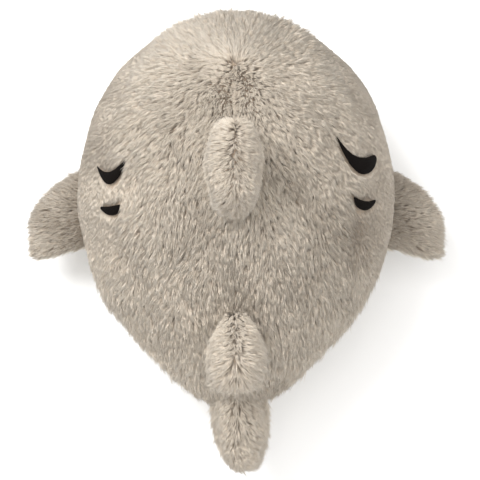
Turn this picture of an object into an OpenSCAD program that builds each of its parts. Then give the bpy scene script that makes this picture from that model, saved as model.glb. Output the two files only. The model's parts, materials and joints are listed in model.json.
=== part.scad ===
// Plush shark with a round body, resting on its belly.
// Sewn pile fabric panels around fibre stuffing, with floppy fins that hinge along their seams.
// The length runs along Y with the nose at -Y. +X is the animal's left side and +Z is up.
// The origin is on the floor, at the centre of the whole toy's outline.

/* [Body] */
// Widest width of the body, over the pile
body_w = 262; // [250:1:275]
// Length from the nose to the widest station
nose_len = 167; // [156:1:172]
// Length from the widest station to the tail root
rear_len = 180; // [174:1:186]
// Height of the back above the body's axis
back_h = 121; // [112:1:128]
// Height of the body's axis above the floor
axis_h = 104; // [98:1:108]
// Depth of the belly below the axis, before it is flattened by the floor
belly_d = 111; // [110:1:116]
// Angle of the side seams below the body's axis, in degrees
seam_drop = 28; // [20:1:35]
// Thickness of the pile fabric, backing and nap together
pile = 8; // [6:0.5:9]

/* [Fins] */
// Length of the dorsal fin along the back
dorsal_chord = 86; // [74:1:92]
// Height of the dorsal fin
dorsal_span = 54; // [48:1:60]
// Thickness of the dorsal fin
dorsal_thick = 45; // [36:1:48]
// Length of each pectoral fin along the side
pectoral_chord = 72; // [66:1:80]
// Reach of each pectoral fin
pectoral_span = 54; // [50:1:60]
// Thickness of each pectoral fin
pectoral_thick = 27; // [24:1:30]
// Resting droop of the pectoral fins below level, in degrees
pectoral_droop = 14; // [8:1:18]
// Length of the tail's upper lobe along the back
upper_chord = 68; // [60:1:76]
// Height of the tail's upper lobe
upper_span = 46; // [42:1:54]
// Thickness of the tail's upper lobe
upper_thick = 48; // [42:1:52]
// Depth of the tail's lower lobe
lower_chord = 66; // [56:1:70]
// Reach of the tail's lower lobe behind the body
lower_span = 38; // [34:1:44]
// Thickness of the tail's lower lobe
lower_thick = 40; // [36:1:44]

/* [Trim] */
// Radius of the domed eyes
eye_r = 8; // [6:0.5:10]
// Thickness of the satin stitch of the gill and mouth marks
stitch_t = 1.2; // [0.8:0.1:1.6]
// Radius of the seam thread
thread_r = 0.4; // [0.3:0.05:0.5]
// Length of the slit that the belly is stuffed through
slit_len = 70; // [50:1:90]
// Width of the care label
label_w = 28; // [20:1:34]

/* [Hidden] */
// The front of the body is a little fuller than an ellipse, whose power would be 2
nose_power = 2.2;
// The rear of the body follows a parabola that would vanish this far behind the widest station
taper_len = rear_len + 4;
// The last stretch of the parabola is rounded off, from this fraction of rear_len
round_from = 0.84;
// Clearance between each fin's root and the body
root_gap = 2;
// Half thickness of a fin at its sewn root
root_half = 2;
// Clearance between the covers and the stuffing, where the seam threads run
thread_gap = 1.4;
// Clearance between a fin's covers and its stuffing
fill_gap = 0.8;
// Half of the gap left between two body panels along their seam, in degrees around the body
panel_seam_gap = 0.15;
// Half of the gap left between a fin's two covers along their seam
fin_seam_gap = 0.15;
// The ends of each panel lie a little inside its own corner, so that panels meet along edges only
back_end_shift = [0.3, 0, 0.2];
belly_end_shift = [0, 0, -0.3];
// How far each fin's tip is swept back, from the middle of its root
dorsal_sweep = 8;
pectoral_sweep = 20;
upper_sweep = 4;
lower_sweep = 14;
// Height of the embroidery's underside over the pile
stitch_lift = 0.05;
// Rows of facets from nose to tail, and columns across a panel
body_rows = 22;
panel_cols = 11;
belly_cols = 14;
// Rows of facets from a fin's root to its tip, and columns across it
fin_rows = 8;
fin_cols = 14;
// Facets around a seam thread
thread_sides = 6;

// Colours of the fabrics and the trim
grey = [0.73, 0.70, 0.64];
cream = [0.90, 0.88, 0.83];
fibre = [0.96, 0.96, 0.94];
black = [0.09, 0.08, 0.07];
washer_white = [0.85, 0.85, 0.83];

// ---- Body surface -------------------------------------------------------

// The widest station, placed so that the whole toy is centred on Y
widest_y = (nose_len - rear_len - root_gap - lower_span) / 2;
rear_y = widest_y + rear_len;

// Fraction of the full section at a distance behind the widest station
function rounding(s) = s <= round_from ? 1
    : sqrt(max(0, 1 - pow((s - round_from) / (1 - round_from), 2)));
function rear_share(dy) = (1 - pow(dy / taper_len, 2)) * rounding(dy / rear_len);
function nose_share(dy) = sqrt(max(0, 1 - pow(dy / nose_len, nose_power)));
function share_at(y) = y < widest_y ? nose_share(widest_y - y) : rear_share(y - widest_y);

// A point of the section: share of the full size, angle above the axis, and depth inside the pile
function section_x(share, a, d) = (body_w / 2 - d) * share * cos(a);
function section_z(share, a, d) =
    max(d, axis_h + ((sin(a) >= 0 ? back_h : belly_d) - d) * share * sin(a));

// Row u runs from -1 at the nose through 0 at the widest station to 1 at the tail root
function row_share(u) = u < 0 ? nose_share(nose_len * sin(-90 * u)) : rear_share(rear_len * sin(90 * u));
function row_y(u, d) = widest_y + (u < 0 ? nose_len - d : rear_len - d) * sin(90 * u);
function body_point(u, a, d) =
    [section_x(row_share(u), a, d), row_y(u, d), section_z(row_share(u), a, d)];
function nose_point(d) = [0, row_y(-1, d), axis_h];
function tail_point(d) = [0, row_y(1, d), axis_h];

// A point of the outer surface by its place along Y, lifted off the pile by h
function skin_point(y, a, h) =
    [section_x(share_at(y), a, -h), y, section_z(share_at(y), a, -h)];

rows_u = [for (i = [1 : body_rows - 1]) -1 + 2 * i / body_rows];
function body_grid(a0, a1, cols, d) =
    [for (u = rows_u) [for (j = [0 : cols]) body_point(u, a0 + (a1 - a0) * j / cols, d)]];

// ---- Solids from grids of points ----------------------------------------

function flat(rows) = [for (row = rows) each row];
function quad(a, b, c, d) = [[a, b, c], [a, c, d]];

// A sheet with an outer and an inner grid. head and foot are the outer and inner poles that
// close its first and last rows, or undef where the sheet ends in a straight edge.
module sheet(outer, inner, head = undef, foot = undef) {
    last = len(outer) - 1;
    cols = len(outer[0]) - 1;
    count = (last + 1) * (cols + 1);
    headed = !is_undef(head);
    footed = !is_undef(foot);
    head_at = 2 * count;
    foot_at = head_at + (headed ? 2 : 0);
    function o(i, j) = i * (cols + 1) + j;
    function n(i, j) = count + o(i, j);
    skins = [for (i = [0 : last - 1], j = [0 : cols - 1]) each concat(
        quad(o(i, j), o(i, j + 1), o(i + 1, j + 1), o(i + 1, j)),
        quad(n(i, j), n(i + 1, j), n(i + 1, j + 1), n(i, j + 1)))];
    sides = [for (i = [0 : last - 1]) each concat(
        quad(o(i, 0), o(i + 1, 0), n(i + 1, 0), n(i, 0)),
        quad(o(i, cols), n(i, cols), n(i + 1, cols), o(i + 1, cols)))];
    top = headed
        ? concat(
            [for (j = [0 : cols - 1]) each [
                [head_at, o(0, j + 1), o(0, j)],
                [head_at + 1, n(0, j), n(0, j + 1)]]],
            quad(head_at, o(0, 0), n(0, 0), head_at + 1),
            quad(head_at, head_at + 1, n(0, cols), o(0, cols)))
        : [for (j = [0 : cols - 1]) each quad(o(0, j), n(0, j), n(0, j + 1), o(0, j + 1))];
    bottom = footed
        ? concat(
            [for (j = [0 : cols - 1]) each [
                [foot_at, o(last, j), o(last, j + 1)],
                [foot_at + 1, n(last, j + 1), n(last, j)]]],
            quad(foot_at, foot_at + 1, n(last, 0), o(last, 0)),
            quad(foot_at, o(last, cols), n(last, cols), foot_at + 1))
        : [for (j = [0 : cols - 1])
            each quad(o(last, j), o(last, j + 1), n(last, j + 1), n(last, j))];
    polyhedron(
        points = concat(flat(outer), flat(inner), headed ? head : [], footed ? foot : []),
        faces = concat(skins, sides, top, bottom));
}

// A closed solid from a list of rings, each end drawn to a single point
module blob(rings, head, foot) {
    last = len(rings) - 1;
    sides = len(rings[0]);
    head_at = (last + 1) * sides;
    function o(i, j) = i * sides + j % sides;
    polyhedron(
        points = concat(flat(rings), [head, foot]),
        faces = concat(
            [for (i = [0 : last - 1], j = [0 : sides - 1])
                each quad(o(i, j), o(i, j + 1), o(i + 1, j + 1), o(i + 1, j))],
            [for (j = [0 : sides - 1]) each [
                [head_at, o(0, j + 1), o(0, j)],
                [head_at + 1, o(last, j), o(last, j + 1)]]]));
}

// A thread that follows a list of points
function unit(v) = v / norm(v);
module thread(path) {
    last = len(path) - 1;
    rings = [for (i = [0 : last])
        let (
            along = unit(path[min(i + 1, last)] - path[max(i - 1, 0)]),
            across = unit(cross(along, abs(along.z) > 0.9 ? [1, 0, 0] : [0, 0, 1])),
            up = cross(across, along))
        [for (j = [0 : thread_sides - 1])
            let (a = 360 * j / thread_sides)
            path[i] + thread_r * (cos(a) * across + sin(a) * up)]];
    blob(rings, path[0], path[last]);
}

// ---- Body panels and stuffing -------------------------------------------

module back_panel() {
    low = -seam_drop + panel_seam_gap;
    high = 90 - panel_seam_gap;
    color(grey)
        sheet(
            body_grid(low, high, panel_cols, 0),
            body_grid(low, high, panel_cols, pile),
            [nose_point(0) + back_end_shift, nose_point(pile) + back_end_shift],
            [tail_point(0) + back_end_shift, tail_point(pile) + back_end_shift]);
}
module back_panel_left() back_panel();
module back_panel_right() mirror([1, 0, 0]) back_panel();

module belly_panel() {
    right = -180 + seam_drop + panel_seam_gap;
    left = -seam_drop - panel_seam_gap;
    color(cream)
        sheet(
            body_grid(right, left, belly_cols, 0),
            body_grid(right, left, belly_cols, pile),
            [nose_point(0) + belly_end_shift, nose_point(pile) + belly_end_shift],
            [tail_point(0) + belly_end_shift, tail_point(pile) + belly_end_shift]);
}

module body_stuffing() {
    depth = pile + thread_gap;
    around = 2 * (panel_cols + belly_cols / 2);
    color(fibre)
        blob(
            [for (u = rows_u) [for (j = [0 : around - 1]) body_point(u, 360 * j / around, depth)]],
            nose_point(depth), tail_point(depth));
}

// ---- Fins ---------------------------------------------------------------
// A fin is drawn in its own frame: x along its sewn root, y across its thickness, z out to its
// tip. The frame's origin lies on its hinge line. dip(x) is how far the body falls away there.

// A fin is a list: the length of its root, its reach, its thickness, its sweep and its dip.
// A point of it has a row angle a from 0 at the root to 90 at the tip, a column angle b from -90
// at the leading edge to 90 at the trailing edge, and a depth d inside the pile.
function fin_point(fin, a, b, d) =
    let (
        chord = fin[0] / 2 - d,
        span = fin[1] - d,
        half = fin[2] / 2 - d,
        sweep = fin[3],
        dip = fin[4],
        root = root_half / (1 + d),
        rise = sin(a),
        x = sweep * pow(rise, 2) + chord * sqrt(cos(a)) * sin(b),
        z = d + (span - d) * rise)
    [x, (root * cos(a) + half * pow(sin(2 * a), 0.85)) * pow(cos(b), 0.65),
        z + root_gap - dip(x) * (1 - rise)];
function fin_tip(fin, d) = [fin[3], 0, fin[1] - d + root_gap];
function fin_grid(fin, d) =
    [for (i = [0 : fin_rows - 1])
        [for (j = [0 : fin_cols]) fin_point(fin, 90 * i / fin_rows, -90 + 180 * j / fin_cols, d)]];
function fin_ring(fin, i, d) =
    concat(
        [for (j = [0 : fin_cols - 1])
            fin_point(fin, 90 * i / fin_rows, -90 + 180 * j / fin_cols, d)],
        [for (j = [0 : fin_cols - 1])
            let (p = fin_point(fin, 90 * i / fin_rows, 90 - 180 * j / fin_cols, d))
            [p.x, -p.y, p.z]]);

// One half of a fin's cover, on the +y side of its middle plane
module fin_cover(fin) {
    translate([0, fin_seam_gap, 0])
        sheet(fin_grid(fin, 0), fin_grid(fin, pile), undef, [fin_tip(fin, 0), fin_tip(fin, pile)]);
}
module fin_cover_far(fin) mirror([0, 1, 0]) fin_cover(fin);

module fin_stuffing(fin) {
    depth = pile + fill_gap;
    rings = [for (i = [0 : fin_rows - 1]) fin_ring(fin, i, depth)];
    blob(rings, (rings[0][0] + rings[0][fin_cols]) / 2, fin_tip(fin, depth));
}

// Dorsal fin, standing on the centre of the back
dorsal_y = widest_y - 3;
dorsal_z = axis_h + back_h * share_at(dorsal_y);
dorsal = [dorsal_chord, dorsal_span, dorsal_thick, dorsal_sweep,
    function(x) dorsal_z - (axis_h + back_h * share_at(dorsal_y + x))];
module place_dorsal() translate([0, dorsal_y, dorsal_z]) rotate([0, 0, 90]) children();
module dorsal_cover_left() color(grey) place_dorsal() fin_cover_far(dorsal);
module dorsal_cover_right() color(grey) place_dorsal() fin_cover(dorsal);
module dorsal_stuffing() color(fibre) place_dorsal() fin_stuffing(dorsal);

// Upper lobe of the tail, standing on the slope of the back
upper_y = widest_y + 124;
upper_z = axis_h + back_h * share_at(upper_y);
upper_slope = atan(2 * back_h * (upper_y - widest_y) / pow(taper_len, 2));
upper = [upper_chord, upper_span, upper_thick, upper_sweep,
    function(x) let (
            y = upper_y + x * cos(upper_slope),
            line_z = upper_z - x * sin(upper_slope))
        (line_z - axis_h - back_h * share_at(y)) * cos(upper_slope)];
module place_upper()
    translate([0, upper_y, upper_z]) rotate([-upper_slope, 0, 0]) rotate([0, 0, 90]) children();
module tail_upper_cover_left() color(grey) place_upper() fin_cover_far(upper);
module tail_upper_cover_right() color(grey) place_upper() fin_cover(upper);
module tail_upper_stuffing() color(fibre) place_upper() fin_stuffing(upper);

// Lower lobe of the tail, reaching back from the end of the body, its x axis pointing down
lower_z = axis_h - 12;
lower_clear = 3; // keeps its root clear of the curve of the body's end
// How far the end of the body lies in front of rear_y at height z, found by halving the step
function end_dy(z, low, high, steps) =
    let (mid = (low + high) / 2, h = z >= axis_h ? back_h : belly_d)
    steps == 0 ? mid
        : h * rear_share(mid) > abs(z - axis_h) ? end_dy(z, mid, high, steps - 1)
        : end_dy(z, low, mid, steps - 1);
lower = [lower_chord, lower_span, lower_thick, lower_sweep,
    function(x) rear_len - end_dy(lower_z - x, 0, rear_len, 12) - lower_clear];
module place_lower() translate([0, rear_y, lower_z]) rotate([-90, 0, 0]) rotate([0, 0, 90]) children();
module tail_lower_cover_left() color(grey) place_lower() fin_cover_far(lower);
module tail_lower_cover_right() color(grey) place_lower() fin_cover(lower);
module tail_lower_stuffing() color(fibre) place_lower() fin_stuffing(lower);

// Pectoral fins, sewn to the lower part of the sides
pectoral_y = widest_y - 3;
pectoral_angle = -seam_drop + 10;
pectoral_x = section_x(share_at(pectoral_y), pectoral_angle, 0);
pectoral_z = section_z(share_at(pectoral_y), pectoral_angle, 0);
pectoral = [pectoral_chord, pectoral_span, pectoral_thick, pectoral_sweep,
    function(x) pectoral_x - section_x(share_at(pectoral_y + x), pectoral_angle, 0)];
module place_pectoral()
    translate([pectoral_x, pectoral_y, pectoral_z])
        rotate([0, 90 + pectoral_droop, 0]) rotate([0, 0, 90]) children();
module pectoral_left_upper_cover() color(grey) place_pectoral() fin_cover(pectoral);
module pectoral_left_lower_cover() color(cream) place_pectoral() fin_cover_far(pectoral);
module pectoral_left_stuffing() color(fibre) place_pectoral() fin_stuffing(pectoral);
module pectoral_right_upper_cover() mirror([1, 0, 0]) pectoral_left_upper_cover();
module pectoral_right_lower_cover() mirror([1, 0, 0]) pectoral_left_lower_cover();
module pectoral_right_stuffing() mirror([1, 0, 0]) pectoral_left_stuffing();

// ---- Eyes ---------------------------------------------------------------

eye_y = widest_y - 112;
eye_angle = -10;
eye_at = skin_point(eye_y, eye_angle, 0);
// Turn of the eye's post away from straight forward, and its tilt below level, which set it
// square on the side of the nose
eye_turn = 56;
eye_tilt = 10;
post_r = 2.2;
post_len = pile + 7;
washer_t = 1.6;
washer_depth = pile + 4;
module place_eye()
    translate(eye_at) rotate([0, 0, eye_turn]) rotate([90 + eye_tilt, 0, 0]) children();
module eye() {
    color(black) place_eye()
        rotate_extrude($fn = 40)
            union() {
                intersection() {
                    translate([0, -eye_r * 0.45]) circle(r = eye_r * 1.1);
                    square([eye_r, eye_r]);
                }
                translate([0, -post_len]) square([post_r, post_len + 1]);
            }
}
module eye_washer() {
    color(washer_white) place_eye()
        translate([0, 0, -washer_depth]) difference() {
            cylinder(r = eye_r, h = washer_t, $fn = 40);
            translate([0, 0, -1]) cylinder(r = post_r, h = washer_t + 2, $fn = 40);
        }
}
module eye_left() eye();
module eye_right() mirror([1, 0, 0]) eye();
module eye_washer_left() eye_washer();
module eye_washer_right() mirror([1, 0, 0]) eye_washer();

// ---- Embroidery ---------------------------------------------------------

// A crescent of satin stitch. p runs up around the side and q runs towards the nose, from its
// centre at station y and angle a. Its middle hangs towards the tail by bow. rise and fall shape
// its lower and upper ends: near 1 draws an end out to a point, near 0 leaves it blunt.
module crescent(y, a, len, bow, wide, tilt, rise, fall) {
    steps = 14;
    share_up = rise / (rise + fall);
    peak = pow(share_up, rise) * pow(1 - share_up, fall);
    rim = norm([body_w / 2 * sin(a), back_h * cos(a)]) * share_at(y);
    function along(t) = [len * (t - 0.5), -bow * 4 * t * (1 - t) + bow / 2];
    function width(t) = wide * pow(t, rise) * pow(1 - t, fall) / peak;
    function spot(p, q, h) =
        skin_point(
            y - (q * cos(tilt) + p * sin(tilt)),
            a + (p * cos(tilt) - q * sin(tilt)) / rim * 180 / PI, h);
    function row(t, h) =
        [for (side = [-1, 0, 1]) spot(along(t).x, along(t).y + side * width(t) / 2, h)];
    function grid(h) = [for (i = [1 : steps - 1]) row(i / steps, h)];
    function end(t) = [for (h = [stitch_lift + stitch_t, stitch_lift]) spot(along(t).x, along(t).y, h)];
    color(black) sheet(grid(stitch_lift + stitch_t), grid(stitch_lift), end(0), end(1));
}

module gill_left_front() crescent(widest_y - 12.5, 39.6, 34.4, 10.4, 10, -4.8, 0.92, 0.44);
module gill_left_rear() crescent(widest_y + 17.1, 37.9, 25.5, 2.3, 7, -9.7, 0.61, 0.23);
module gill_right_front()
    mirror([1, 0, 0]) crescent(widest_y - 23.8, 41.8, 48.3, 14.2, 12.2, 10.7, 0.33, 0.73);
module gill_right_rear()
    mirror([1, 0, 0]) crescent(widest_y + 11.7, 36.8, 28.6, 4.3, 7, -8.3, 0.55, 0.24);

// A calm closed line on the cream belly fabric, under the nose
mouth_y = widest_y - 142;
mouth_span = 74;
mouth_rise = 9;
mouth_wide = 3.2;
module mouth_stitch() {
    steps = 12;
    function spot(t, side, h) =
        skin_point(
            mouth_y - mouth_rise * pow(2 * t - 1, 2) + side * mouth_wide / 2,
            -90 + mouth_span * (t - 0.5), h);
    function grid(h) =
        [for (i = [1 : steps - 1]) [for (side = [1, 0, -1]) spot(i / steps, side, h)]];
    function end(t) = [for (h = [stitch_lift + stitch_t, stitch_lift]) spot(t, 0, h)];
    color(black) sheet(grid(stitch_lift + stitch_t), grid(stitch_lift), end(0), end(1));
}

// ---- Threads and label --------------------------------------------------

thread_depth = pile + thread_gap / 2;
module back_seam_thread()
    color(grey) thread([for (u = rows_u) body_point(u, 90, thread_depth)]);
module side_seam_thread()
    color(grey) thread([for (u = rows_u) body_point(u, -seam_drop, thread_depth)]);
module side_seam_thread_left() side_seam_thread();
module side_seam_thread_right() mirror([1, 0, 0]) side_seam_thread();

// The hand stitches that close the belly, a zigzag just inside its fabric
module closing_stitch() {
    stitches = 14;
    half_wide = 1.5;
    clear = 0.2;
    color(cream)
        thread([for (i = [0 : stitches])
            [(i % 2 == 0 ? 1 : -1) * half_wide, widest_y + slit_len * (i / stitches - 0.5),
                thread_depth + clear]]);
}

// A blank folded label that hangs from the left side seam, near the tail
label_y = widest_y + 96;
label_drop = 22;
label_thick = 0.8;
// Place of the label around the body, just below the seam, and its lean against the side
label_angle = -seam_drop - 2.5;
label_lean = 84;
label_lift = 1.6;
// Turn of the label that follows the taper of the side seam
label_turn = atan(body_w * cos(seam_drop) * (label_y - widest_y) / pow(taper_len, 2));
module care_label() {
    color(fibre)
        translate(skin_point(label_y, label_angle, label_lift))
            rotate([0, label_lean, label_turn])
                translate([0, -label_w / 2, -label_thick / 2])
                    cube([label_drop, label_w, label_thick]);
}

back_panel_left();
back_panel_right();
belly_panel();
body_stuffing();
dorsal_cover_left();
dorsal_cover_right();
dorsal_stuffing();
pectoral_left_upper_cover();
pectoral_left_lower_cover();
pectoral_left_stuffing();
pectoral_right_upper_cover();
pectoral_right_lower_cover();
pectoral_right_stuffing();
tail_upper_cover_left();
tail_upper_cover_right();
tail_upper_stuffing();
tail_lower_cover_left();
tail_lower_cover_right();
tail_lower_stuffing();
eye_left();
eye_right();
eye_washer_left();
eye_washer_right();
gill_left_front();
gill_left_rear();
gill_right_front();
gill_right_rear();
mouth_stitch();
back_seam_thread();
side_seam_thread_left();
side_seam_thread_right();
closing_stitch();
care_label();
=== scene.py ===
"""A plush shark with a round body: backing fabric, long pile, stuffing, embroidery, eyes and label.

Everything is in metres, in the CAD frame: the nose points to -Y, +X is the animal's left and +Z is up.
The backing of each panel lies a little inside its CAD cover, and the pile grows out to the cover's surface.
"""

import json
import math

import bpy
import numpy as np
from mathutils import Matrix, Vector


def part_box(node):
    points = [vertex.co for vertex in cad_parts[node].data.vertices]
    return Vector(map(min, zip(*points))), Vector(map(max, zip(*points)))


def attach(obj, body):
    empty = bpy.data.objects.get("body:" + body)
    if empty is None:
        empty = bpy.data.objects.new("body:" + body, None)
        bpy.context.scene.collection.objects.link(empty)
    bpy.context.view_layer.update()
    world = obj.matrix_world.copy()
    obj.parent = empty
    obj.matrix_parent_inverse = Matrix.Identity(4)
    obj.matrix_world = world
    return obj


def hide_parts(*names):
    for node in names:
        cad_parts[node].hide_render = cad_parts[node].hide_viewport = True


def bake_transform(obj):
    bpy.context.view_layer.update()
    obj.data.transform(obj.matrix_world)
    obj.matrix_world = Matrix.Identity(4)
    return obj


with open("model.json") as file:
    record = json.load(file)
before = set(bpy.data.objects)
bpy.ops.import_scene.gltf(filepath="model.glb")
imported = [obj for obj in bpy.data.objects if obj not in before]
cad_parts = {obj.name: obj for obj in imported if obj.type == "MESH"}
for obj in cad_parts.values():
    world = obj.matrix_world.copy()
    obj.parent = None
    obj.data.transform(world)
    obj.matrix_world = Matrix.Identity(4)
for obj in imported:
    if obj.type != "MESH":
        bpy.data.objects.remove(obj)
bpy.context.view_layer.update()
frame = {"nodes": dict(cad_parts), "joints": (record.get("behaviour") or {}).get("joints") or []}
rng = np.random.default_rng(20260)

# ---- Sizes -------------------------------------------------------------------

MM = 0.001
BACKING_DEPTH = 5.5 * MM  # how far the backing lies inside the CAD cover's surface
BACKING_THICK = 1.2 * MM
FILL_DEPTH = 8.5 * MM  # and how far the stuffing does
SEAM_DROP = 28.0  # degrees that the side seams lie below the body's axis
NOSE_POWER = 2.2  # 2 would be an ellipse, and more is blunter
NOSE_PART = 167 / 347  # share of the body's length in front of the widest station
TAPER_EXTRA = 4 * MM  # how far past the rear end the body's taper would close
ROUND_FROM = 0.84  # share of the rear's length where its end starts to round off
AXIS_H = 104 * MM  # height of the body's axis
BELLY_D = 111 * MM  # depth of the belly under it, before the floor flattens it
WIDTH_TRIM = 1.003  # the back panel's box stops a little short of the body's full width

back_low, back_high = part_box("back_panel_left")
nose_y, rear_y = back_low.y, back_high.y
rear_len = (1 - NOSE_PART) * (rear_y - nose_y)
nose_len = NOSE_PART * (rear_y - nose_y)
widest_y = nose_y + nose_len
taper_len = rear_len + TAPER_EXTRA
half_w = WIDTH_TRIM * back_high.x
back_h = back_high.z - AXIS_H

# ---- Small numeric helpers ---------------------------------------------------


def unit(v):
    return v / np.maximum(np.linalg.norm(v, axis=-1, keepdims=True), 1e-12)


def smooth_step(low, high, x):
    t = np.clip((x - low) / (high - low), 0, 1)
    return t * t * (3 - 2 * t)


def waves(points, wavelength, seed, count=10):
    """Smooth noise from -1 to 1: a sum of plane waves in random directions."""
    r = np.random.default_rng(seed)
    k = unit(r.normal(size=(count, 3))) * 2 * np.pi / wavelength * r.uniform(0.6, 1.5, (count, 1))
    phase = r.uniform(0, 2 * np.pi, count)
    return np.sin(points @ k.T + phase).sum(axis=1) / math.sqrt(count)


# ---- The body's surface ------------------------------------------------------


def nose_share(dy):
    return np.sqrt(np.clip(1 - np.clip(dy / nose_len, 0, 1) ** NOSE_POWER, 0, 1))


def rear_share(dy):
    s = np.clip(dy / rear_len, 0, 1)
    rounding = np.sqrt(np.clip(1 - np.clip((s - ROUND_FROM) / (1 - ROUND_FROM), 0, 1) ** 2, 0, 1))
    return (1 - (dy / taper_len) ** 2) * rounding


def share_at(y):
    return np.where(y < widest_y, nose_share(widest_y - y), rear_share(y - widest_y))


def body_point(u, angle, depth):
    """A point under the body's surface: u from -1 at the nose to 1 at the rear, angle in degrees."""
    u, a = np.broadcast_arrays(np.asarray(u, float), np.radians(angle))
    reach = np.sin(0.5 * np.pi * u)
    share = np.where(u < 0, nose_share(-nose_len * reach), rear_share(rear_len * reach))
    y = widest_y + np.where(u < 0, nose_len - depth, rear_len - depth) * reach
    x = (half_w - depth) * share * np.cos(a)
    tall = np.where(np.sin(a) >= 0, back_h, BELLY_D) - depth
    z = np.maximum(AXIS_H + tall * share * np.sin(a), depth)
    return np.stack([x, y, z], axis=-1)


def station_point(y, angle, depth):
    """A point under the body's surface, by its place along Y and its angle in degrees above the axis."""
    y, a = np.broadcast_arrays(np.asarray(y, float), np.radians(angle))
    share = share_at(y)
    tall = np.where(np.sin(a) >= 0, back_h, BELLY_D) - depth
    return np.stack([
        (half_w - depth) * share * np.cos(a), y,
        np.maximum(AXIS_H + tall * share * np.sin(a), depth)], axis=-1)


SEAM_VALLEY = 2.2 * MM
SEAM_WIDTH = 7 * MM
LUMP, LUMP_WAVE = 1.5 * MM, 0.085
CHEEK_SWELL = 3.8 * MM  # the pile lies flat on the cheeks, so their backing is fuller
CHEEK_IN, CHEEK_OUT = 0.03, 0.07  # where the swell starts and is full, out from the middle
CHEEK_BACK, CHEEK_FRONT = 0.05, -0.03  # and along the body, behind the widest station
REAR_SINK = 2.0 * MM
REAR_FROM, REAR_TO = 0.05, 0.09
TOP_FADE = 0.04
FLOOR_FADE = 0.03
BODY_MIDDLE = np.array([0, widest_y, AXIS_H])


def on_top(points):
    """1 on the upper part of the body, fading to 0 at its axis."""
    return smooth_step(AXIS_H, AXIS_H + TOP_FADE, points[..., 2])


def stuffed(points):
    """Moves a surface as real stuffing does: low lumps, full cheeks, and a valley along the back seam."""
    away = unit(points - BODY_MIDDLE)
    lumps = LUMP * waves(points, LUMP_WAVE, 3)
    valley = SEAM_VALLEY * np.exp(-(points[..., 0] / SEAM_WIDTH) ** 2) * on_top(points)
    off_floor = smooth_step(0.0, FLOOR_FADE, points[..., 2])
    cheeks = CHEEK_SWELL * smooth_step(CHEEK_IN, CHEEK_OUT, np.abs(points[..., 0])) * smooth_step(
        widest_y + CHEEK_BACK, widest_y + CHEEK_FRONT, points[..., 1])
    rear = REAR_SINK * smooth_step(widest_y + REAR_FROM, widest_y + REAR_TO, points[..., 1])
    return points + away * (((lumps + cheeks - rear) * off_floor - valley)[..., None])


# ---- Fin surfaces ------------------------------------------------------------

JOINTS = {j["name"]: j for j in frame["joints"]}
PECTORAL_DROOP = math.radians(14)
DROOP_SIN, DROOP_COS = math.sin(PECTORAL_DROOP), math.cos(PECTORAL_DROOP)
UPPER_AXIS = JOINTS["tail_upper_lean"]["axis"]
SLOPE = math.atan2(-UPPER_AXIS[2], UPPER_AXIS[1])  # how steeply the upper lobe's root falls to the rear


def dorsal_dip(x, origin):
    return origin[2] - (AXIS_H + back_h * share_at(origin[1] + x))


def upper_dip(x, origin):
    y = origin[1] + x * math.cos(SLOPE)
    line_z = origin[2] - x * math.sin(SLOPE)
    return (line_z - AXIS_H - back_h * share_at(y)) * math.cos(SLOPE)


def no_dip(x, origin):
    return 0 * x


# powers of a sine or cosine that round off the fins' curves: less than 1 is fuller
ROOT_POWER, SWELL_POWER, EDGE_POWER, BEND_POWER = 0.6, 0.85, 0.65, 0.7


class Fin:
    """A fin's backing surface, in its own frame: x along its root, y across its thickness, z out to its tip.

    Its sizes are those of the backing, under the pile, in millimetres. chord and half are half its length
    and half its thickness, root half the thickness at its root, and span its height. start is where it
    begins, inside the body's pile, and dip how far the body falls away under it. sweep and shift move it
    along x, at its tip and as a whole, bend moves its tip along y, taper thins the tip, and narrow above
    0.5 narrows it.
    """

    def __init__(self, joint, body, axes, chord, half, root, span, start, sweep,
                 dip=no_dip, bend=0.0, shift=0.0, taper=0.0, narrow=0.5):
        self.origin, self.axes, self.body = np.array(JOINTS[joint]["pos_m"]), np.array(axes, float), body
        self.chord, self.half, self.root, self.span = chord * MM, half * MM, root * MM, span * MM
        self.start, self.sweep, self.dip, self.bend = start * MM, sweep * MM, dip, bend * MM
        self.shift, self.taper, self.narrow = shift * MM, taper, narrow

    def point(self, a, b, side, depth):
        """a: 0 at the root to 90 at the tip; b: -90 at the leading edge to 90 at the trailing edge.

        side is 1 or -1, for the two covers, and depth is how far under the backing's surface it lies.
        """
        a, b = np.broadcast_arrays(np.radians(a), np.radians(b))
        rise = np.sin(a)
        x = self.shift + self.sweep * rise ** 2 + (self.chord - depth) * np.cos(a) ** self.narrow * np.sin(b)
        thick = max(self.root - depth, MM) * np.cos(a) ** ROOT_POWER
        thick = thick + self.half * np.sin(2 * a) ** SWELL_POWER
        thick = thick * (1 - self.taper * rise ** 2)
        y = side * thick * np.cos(b) ** EDGE_POWER + self.bend * rise ** BEND_POWER
        z = self.start + (self.span - depth - self.start) * rise
        z = z - self.dip(x, self.origin) * (1 - rise)
        return self.origin + np.stack([x, y, z], axis=-1) @ self.axes

    def local(self, points):
        return (points - self.origin) @ self.axes.T


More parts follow.
